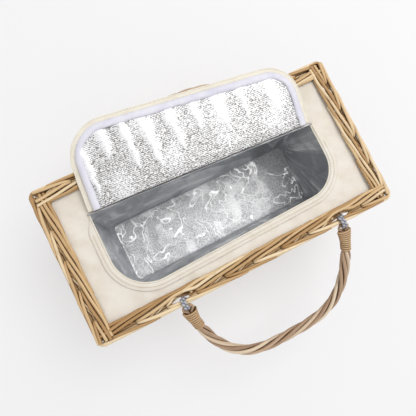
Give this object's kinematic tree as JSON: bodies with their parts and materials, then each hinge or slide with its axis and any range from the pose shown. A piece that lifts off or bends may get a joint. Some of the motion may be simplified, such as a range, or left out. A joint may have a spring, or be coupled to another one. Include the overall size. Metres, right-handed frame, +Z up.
{
  "type": "wicker cool basket",
  "caption": "Rectangular willow basket with a zipped, foil-lined cool bag, a lid hinged at the back and a swinging twisted handle at the front and at the back.",
  "frame": {"origin": "centre of the base's underside, on the plane that the basket stands on", "axes": "+X along the basket's length, +Y to the back where the lid is hinged, +Z up"},
  "size_m": [0.45, 0.4392, 0.2257],
  "materials": {
    "willow": "satin",
    "willow_dark": "satin",
    "handle_willow": "satin",
    "cane": "satin",
    "ring_cord": "satin",
    "canvas": "matte",
    "binding_tape": "matte",
    "zip_tape": "matte",
    "foil": "metallised film",
    "foam": "matte",
    "slider_metal": "satin"
  },
  "bodies": {
    "basket": {"base_stick_1": "willow_dark", "base_stick_2": "willow_dark", "base_stick_3": "willow_dark", "base_stick_4": "willow_dark", "base_stick_5": "willow_dark", "base_weave": "willow", "wall_weave_front": "willow", "wall_weave_right": "willow", "wall_weave_back": "willow", "wall_weave_left": "willow", "side_frame_front": "willow_dark", "side_frame_right": "willow_dark", "side_frame_back": "willow_dark", "side_frame_left": "willow_dark", "border_outer_front": "willow", "border_outer_back": "willow", "border_outer_left": "willow", "border_outer_right": "willow", "border_inner_front": "willow", "border_inner_back": "willow", "border_inner_left": "willow", "border_inner_right": "willow", "canvas_top": "canvas", "opening_edge_tape": "zip_tape", "body_zip_coil": "zip_tape", "zip_slider": "slider_metal", "bag_canvas": "canvas", "foam_floor": "foam", "foam_front": "foam", "foam_back": "foam", "foam_left": "foam", "foam_right": "foam", "bag_foil": "foil"},
    "lid": {"lid_canvas": "canvas", "lid_foam": "foam", "lid_foil": "foil", "lid_binding": "binding_tape", "lid_zip_coil": "zip_tape", "lid_zip_tape": "zip_tape", "lid_hinge_roll": "canvas"},
    "front_handle": {"front_handle_bow": "handle_willow", "front_handle_eye_left": "handle_willow", "front_handle_eye_right": "handle_willow", "front_handle_binding_left": "cane", "front_handle_binding_right": "cane", "front_ring_left": "ring_cord", "front_ring_right": "ring_cord"},
    "back_handle": {"back_handle_bow": "handle_willow", "back_handle_eye_left": "handle_willow", "back_handle_eye_right": "handle_willow", "back_handle_binding_left": "cane", "back_handle_binding_right": "cane", "back_ring_left": "ring_cord", "back_ring_right": "ring_cord"}
  },
  "joints": [
    {"name": "lid_hinge", "type": "hinge", "parent": "basket", "child": "lid", "pos_m": [-0.166, 0.052, 0.1982], "axis": [0.9984, -0.0566, 0], "range_deg": [0, 171]},
    {"name": "front_handle_swing", "type": "hinge", "parent": "basket", "child": "front_handle", "pos_m": [0.02, -0.10785, 0.20085], "axis": [-1, 0, 0], "range_deg": [-45, 162]},
    {"name": "back_handle_swing", "type": "hinge", "parent": "basket", "child": "back_handle", "pos_m": [-0.01, 0.10785, 0.20085], "axis": [1, 0, 0], "range_deg": [0, 146]}
  ],
  "couplings": [
    {"joint": "back_handle_swing", "follows": "lid_hinge", "ratio": 0.8538}
  ]
}
